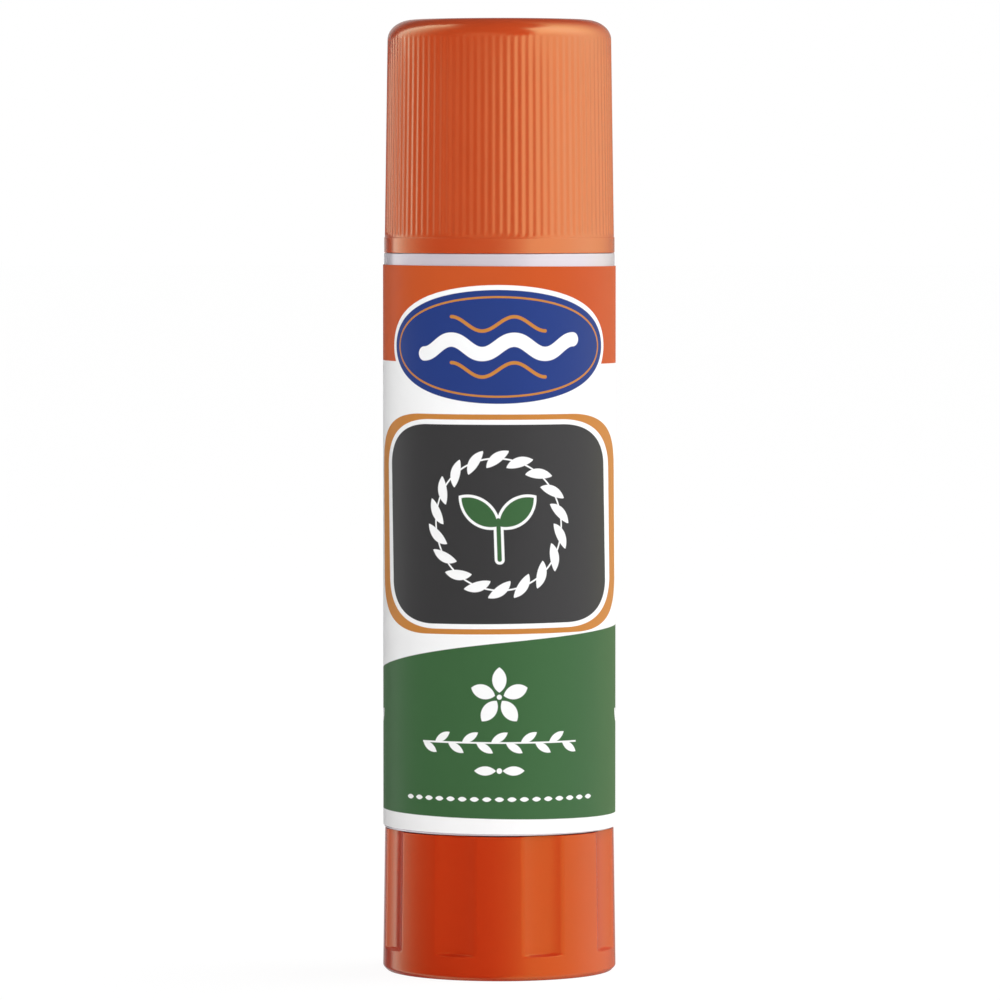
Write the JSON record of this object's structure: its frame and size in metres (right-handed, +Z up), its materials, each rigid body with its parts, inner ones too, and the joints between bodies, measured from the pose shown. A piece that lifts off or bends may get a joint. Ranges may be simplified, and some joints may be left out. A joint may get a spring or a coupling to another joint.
{
  "type": "glue stick",
  "caption": "Twist-up glue stick: a film-wrapped tube with a ribbed push-on cap, and a fluted base whose screw raises the glue.",
  "frame": {"origin": "centre of the foot, on the surface that the stick stands on", "axes": "+Z up along the stick's axis, from the base knob to the cap; -Y to the label's front"},
  "size_m": [0.0206, 0.0207, 0.084],
  "materials": {
    "cap_plastic": "satin moulded plastic with fine upright ribs",
    "knob_plastic": "smooth, slightly glossy moulded plastic",
    "barrel_plastic": "smooth white moulded plastic",
    "label_film": "printed film, satin",
    "spindle_plastic": "natural white moulded plastic",
    "carriage_plastic": "natural white moulded plastic",
    "glue_stick": "waxy off-white cast adhesive"
  },
  "bodies": {
    "barrel": {"barrel": "barrel_plastic", "label": "label_film"},
    "knob": {"knob": "knob_plastic", "spindle": "spindle_plastic"},
    "carriage": {"carriage": "carriage_plastic", "glue": "glue_stick"},
    "cap": {"cap": "cap_plastic"}
  },
  "joints": [
    {"name": "knob_turn", "type": "hinge", "parent": "barrel", "child": "knob", "pos_m": [0, 0, 0.0125], "axis": [0, 0, 1], "range_deg": [0, 4320]},
    {"name": "carriage_rise", "type": "slide", "parent": "barrel", "child": "carriage", "axis": [0, 0, 1], "range_m": [0, 0.0481]},
    {"name": "cap_lift", "type": "slide", "parent": "carriage", "child": "cap", "axis": [0, 0, 1], "range_m": [0, 0.03]}
  ],
  "couplings": [
    {"joint": "carriage_rise", "follows": "knob_turn", "m_per_rad": 0.00063662}
  ]
}
